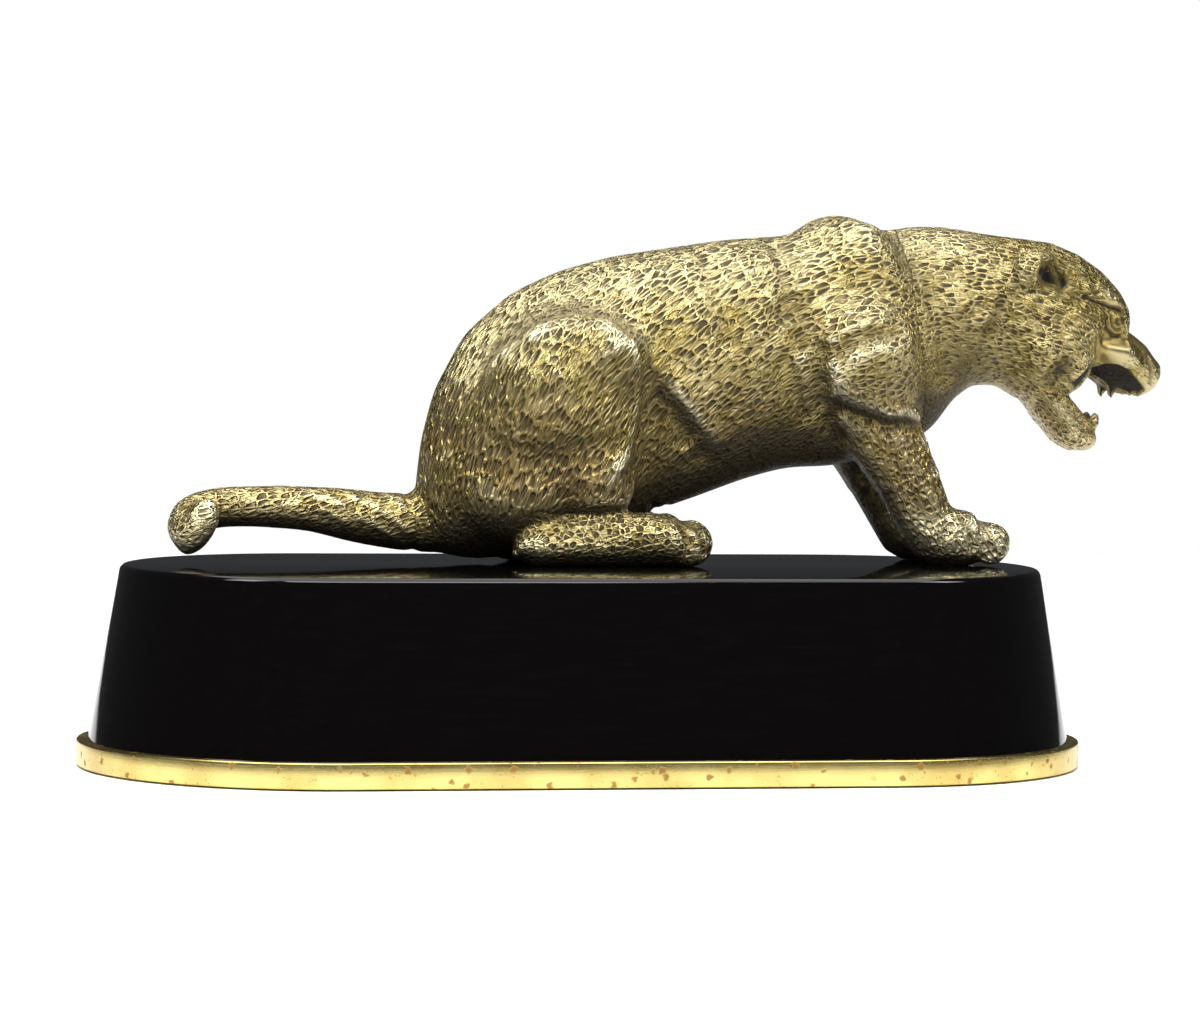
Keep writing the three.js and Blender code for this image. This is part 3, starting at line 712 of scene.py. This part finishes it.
def polished_brass():
    g = Graph("polished_brass")
    spot = g.node("TexCoord", output=3)
    brushed = g.node("Mapping", {}, Vector=spot, Scale=(30.0, 30.0, 1600.0))
    line = g.node("TexNoise", {}, 0, Vector=brushed, Scale=2.0, Detail=4.0)
    cloud = g.node("TexNoise", {}, 0, Vector=spot, Scale=60.0, Detail=4.0)
    blur = g.node("TexNoise", {}, 1, Vector=spot, Scale=700.0, Detail=2.0)
    drift = g.node("VectorMath", {"operation": "MULTIPLY_ADD"}, _0=blur, _1=(0.0022, 0.0022, 0.0022), _2=spot)
    speck = g.node("TexVoronoi", {"feature": "F1"}, Vector=drift, Scale=190.0, Randomness=1.0)
    fleck = g.node("TexVoronoi", {"feature": "F1"}, Vector=drift, Scale=620.0, Randomness=1.0)
    small = g.between(fleck, 0.26, 0.1) * g.between(cloud, 0.45, 0.6)
    spots = g.between(speck, 0.24, 0.13) * 0.8 + small * 0.6
    base = g.mix(g.between(cloud, 0.35, 0.7), rgba(214, 196, 124), rgba(192, 168, 98))
    colour = g.mix(g.math("MINIMUM", spots, 0.9), base, rgba(150, 108, 52))
    rough = 0.2 + line * 0.12 + spots * 0.3
    bump = g.node("Bump", {}, Height=line * 0.4 - spots, Strength=0.4, Distance=0.05 * MM)
    shader = g.node("BsdfPrincipled", {}, Base_Color=colour, Metallic=1.0, Roughness=rough, Normal=bump)
    return g.finish(shader)


def turned_brass():
    g = Graph("turned_brass")
    spot = g.node("TexCoord", output=3)
    rings = g.node("Mapping", {}, Vector=spot, Scale=(200.0, 200.0, 4000.0))
    line = g.node("TexNoise", {}, 0, Vector=rings, Scale=1.0, Detail=3.0)
    tarnish = g.node("TexNoise", {}, 0, Vector=spot, Scale=240.0, Detail=3.0)
    colour = g.mix(g.between(tarnish, 0.4, 0.7), rgba(206, 182, 112), rgba(140, 112, 62))
    bump = g.node("Bump", {}, Height=line, Strength=0.4, Distance=0.06 * MM)
    rough = 0.3 + tarnish * 0.2
    shader = g.node("BsdfPrincipled", {}, Base_Color=colour, Metallic=1.0, Roughness=rough, Normal=bump)
    return g.finish(shader)


def green_baize():
    g = Graph("green_baize")
    spot = g.node("TexCoord", output=3)
    fibre = g.node("TexNoise", {}, 0, Vector=spot, Scale=1800.0, Detail=4.0, Roughness=0.7)
    patch = g.node("TexNoise", {}, 0, Vector=spot, Scale=90.0, Detail=2.0)
    nap = g.mix(g.between(fibre, 0.35, 0.65), rgba(18, 58, 38), rgba(44, 96, 66))
    colour = g.mix(g.between(patch, 0.4, 0.8, 0, 0.3), nap, rgba(60, 96, 70))
    bump = g.node("Bump", {}, Height=fibre, Strength=0.8, Distance=0.15 * MM)
    shader = g.node("BsdfPrincipled", {}, Base_Color=colour, Roughness=0.95, Normal=bump)
    return g.finish(shader)


# ---- Plinth and plate: copies of their CAD blanks with the long edges eased; the baize stays as it is ----
HALF_SPINE = (PLATE_HIGH.x - PLATE_LOW.x - PLATE_HIGH.y + PLATE_LOW.y) / 2
PLINTH_EASE = 0.4 * MM
PLATE_EASE = 0.7 * MM
SHARPEST_SMOOTH = math.radians(28)  # a base part's edges that turn more than this stay crisp


def spine_gap(vertex):
    """Distance from the straight middle line of the rounded-end base."""
    return math.hypot(max(abs(vertex.co.x) - HALF_SPINE, 0), vertex.co.y)


def eased_blank(node, levels, least_gap, ease, steps=3):
    """A copy of a base part whose outer edges at the given heights are rounded."""
    bm = bmesh.new()
    bm.from_mesh(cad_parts[node].data)
    bmesh.ops.remove_doubles(bm, verts=bm.verts[:], dist=0.001 * MM)
    bmesh.ops.dissolve_limit(bm, angle_limit=math.radians(0.5), verts=bm.verts[:], edges=bm.edges[:])

    def outer(edge):
        ends = edge.verts
        same = any(all(abs(v.co.z - level) < 0.02 * MM for v in ends) for level in levels)
        return same and all(spine_gap(v) > least_gap for v in ends)

    rim = [e for e in bm.edges if outer(e)]
    bmesh.ops.bevel(
        bm, geom=rim, offset=ease, offset_type="OFFSET", segments=steps,
        profile=0.5, affect="EDGES", material=-1,
    )
    for edge in bm.edges:
        edge.smooth = not edge.is_manifold or edge.calc_face_angle() < SHARPEST_SMOOTH
    for face in bm.faces:
        face.smooth = True
    bmesh.ops.triangulate(bm, faces=[f for f in bm.faces if len(f.verts) > 4])
    return object_from(bm, node + "_finish")


def build_base(lacquer, brass, baize):
    plinth_top = PLINTH_HIGH.z
    foot = (PLINTH_HIGH.y - PLINTH_LOW.y) / 2
    plinth = eased_blank("plinth_block", [plinth_top, plinth_top - MM], foot - 12 * MM, PLINTH_EASE)
    finish_piece(plinth, lacquer, "black_lacquer", "plinth_block")
    rim = (PLATE_HIGH.y - PLATE_LOW.y) / 2
    plate = eased_blank("base_plate", [PLATE_LOW.z, PLATE_HIGH.z], rim - 0.5 * MM, PLATE_EASE)
    finish_piece(plate, brass, "polished_brass", "base_plate")
    coat(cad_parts["baize_pad"], baize)


# ---- Head details that are finer than the clay ----
def head_details(skin):
    skin.soften(3, 0.5 * smoothstep(137, 140, skin.at[:, 0]))
    for row in HEAD_DABS:
        skin.dab(*row)
        skin.refresh()
    skin.under(LIP_EDGE, 11, 1.1, 0.95)
    skin.refresh()
    model(skin, HEAD_STROKES)
    skin.soften(2, 0.35)


def build_cat():
    skin = modelled_cat()
    labels = casting_labels(skin)
    cat_surface = BVHTree.FromObject(skin.piece, bpy.context.evaluated_depsgraph_get())
    marks = {
        "body": chased_brass("chased_body", (110, -20), 4.6, 1.6, 1.1),
        "head": chased_brass("chased_head", (110, -20), 3.8, 1.4, 0.9),
        "tail": chased_brass("chased_tail", (-220, 420), 3.6, 1.6, 0.75),
        "foreleg": chased_brass("chased_foreleg", (460, 210), 2.9, 1.8, 0.85),
        "hind_foot": chased_brass("chased_foot", (40, -300), 2.5, 1.8, 0.8),
    }
    for k, name in enumerate(CASTINGS):
        piece = cut_casting(skin, labels, k)
        if name == "head":
            refine_face(piece)
            head = Skin(piece)
            head_details(head)
            head.write()
        close_casting(piece, cat_surface)
        shade_smooth(piece)
        kind = name.replace("_right", "").replace("_left", "")
        finish_piece(piece, marks[kind], "chased_brass", name + "_casting")
    bpy.data.objects.remove(skin.piece)


# ---- Camera, floor and lights ----
def studio():
    scene = bpy.context.scene
    floor_mesh = bpy.data.meshes.new("floor")
    bm = bmesh.new()
    bmesh.ops.create_grid(bm, x_segments=1, y_segments=1, size=1.05)
    bm.to_mesh(floor_mesh)
    bm.free()
    floor = bpy.data.objects.new("floor", floor_mesh)
    scene.collection.objects.link(floor)
    g = Graph("floor_paint")
    paint = g.node("BsdfPrincipled", {}, Base_Color=(0.93, 0.93, 0.93, 1), Roughness=0.8)
    floor_mesh.materials.append(g.finish(paint))
    world = bpy.data.worlds.new("studio")
    scene.world = world
    world.use_nodes = True
    nodes, links = world.node_tree.nodes, world.node_tree.links
    dim = nodes["Background"]
    dim.inputs["Color"].default_value = (0.9, 0.95, 1, 1)
    dim.inputs["Strength"].default_value = 0.05
    bright = nodes.new("ShaderNodeBackground")
    bright.inputs["Strength"].default_value = 1
    bright.inputs["Color"].default_value = (1, 1, 1, 1)
    seen = nodes.new("ShaderNodeLightPath")
    both = nodes.new("ShaderNodeMixShader")
    links.new(seen.outputs["Is Camera Ray"], both.inputs[0])
    links.new(dim.outputs[0], both.inputs[1])
    links.new(bright.outputs[0], both.inputs[2])
    links.new(both.outputs[0], nodes["World Output"].inputs["Surface"])
    scene.view_settings.view_transform = "Standard"
    softbox("top", (0, 0.05, 1.7), (0, 0, 0), 1.9, 1.9, 40)
    softbox("front", (-0.2, -1.2, 1.5), (0.02, 0, 0.1), 1.2, 0.7, 29)
    softbox("left", (-1.3, -0.7, 1.5), (0, 0, 0.08), 0.6, 0.8, 22)
    softbox("right", (1.3, -0.6, 1.5), (0.05, 0, 0.08), 0.5, 0.8, 16)


def softbox(name, position, target, width, height, power):
    light = bpy.data.lights.new(name, "AREA")
    light.shape, light.size, light.size_y, light.energy = "RECTANGLE", width, height, power
    lamp = bpy.data.objects.new(name, light)
    bpy.context.scene.collection.objects.link(lamp)
    lamp.location = position
    lamp.rotation_euler = (Vector(target) - Vector(position)).to_track_quat("-Z", "Y").to_euler()


def camera():
    data = bpy.data.cameras.new("camera")
    data.sensor_width, data.lens = 36, 140.4
    data.clip_end = 20
    eye = bpy.data.objects.new("camera", data)
    bpy.context.scene.collection.objects.link(eye)
    yaw, pitch, roll = math.radians(10.41), math.radians(2.92), math.radians(0.758)
    look = Vector((math.sin(yaw) * math.cos(pitch), math.cos(yaw) * math.cos(pitch), -math.sin(pitch)))
    eye.location = (-0.24635, -1.3648, 0.145)
    turn = look.to_track_quat("-Z", "Y").to_matrix().to_4x4() @ Matrix.Rotation(roll, 4, "Z")
    eye.rotation_euler = turn.to_euler()
    bpy.context.scene.camera = eye


camera()
studio()
build_base(black_lacquer(), polished_brass(), green_baize())
fastener = turned_brass()
for name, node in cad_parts.items():
    if name.endswith(("_stud", "_washer", "_nut")) or name.startswith("base_screw"):
        coat(node, fastener)
build_cat()
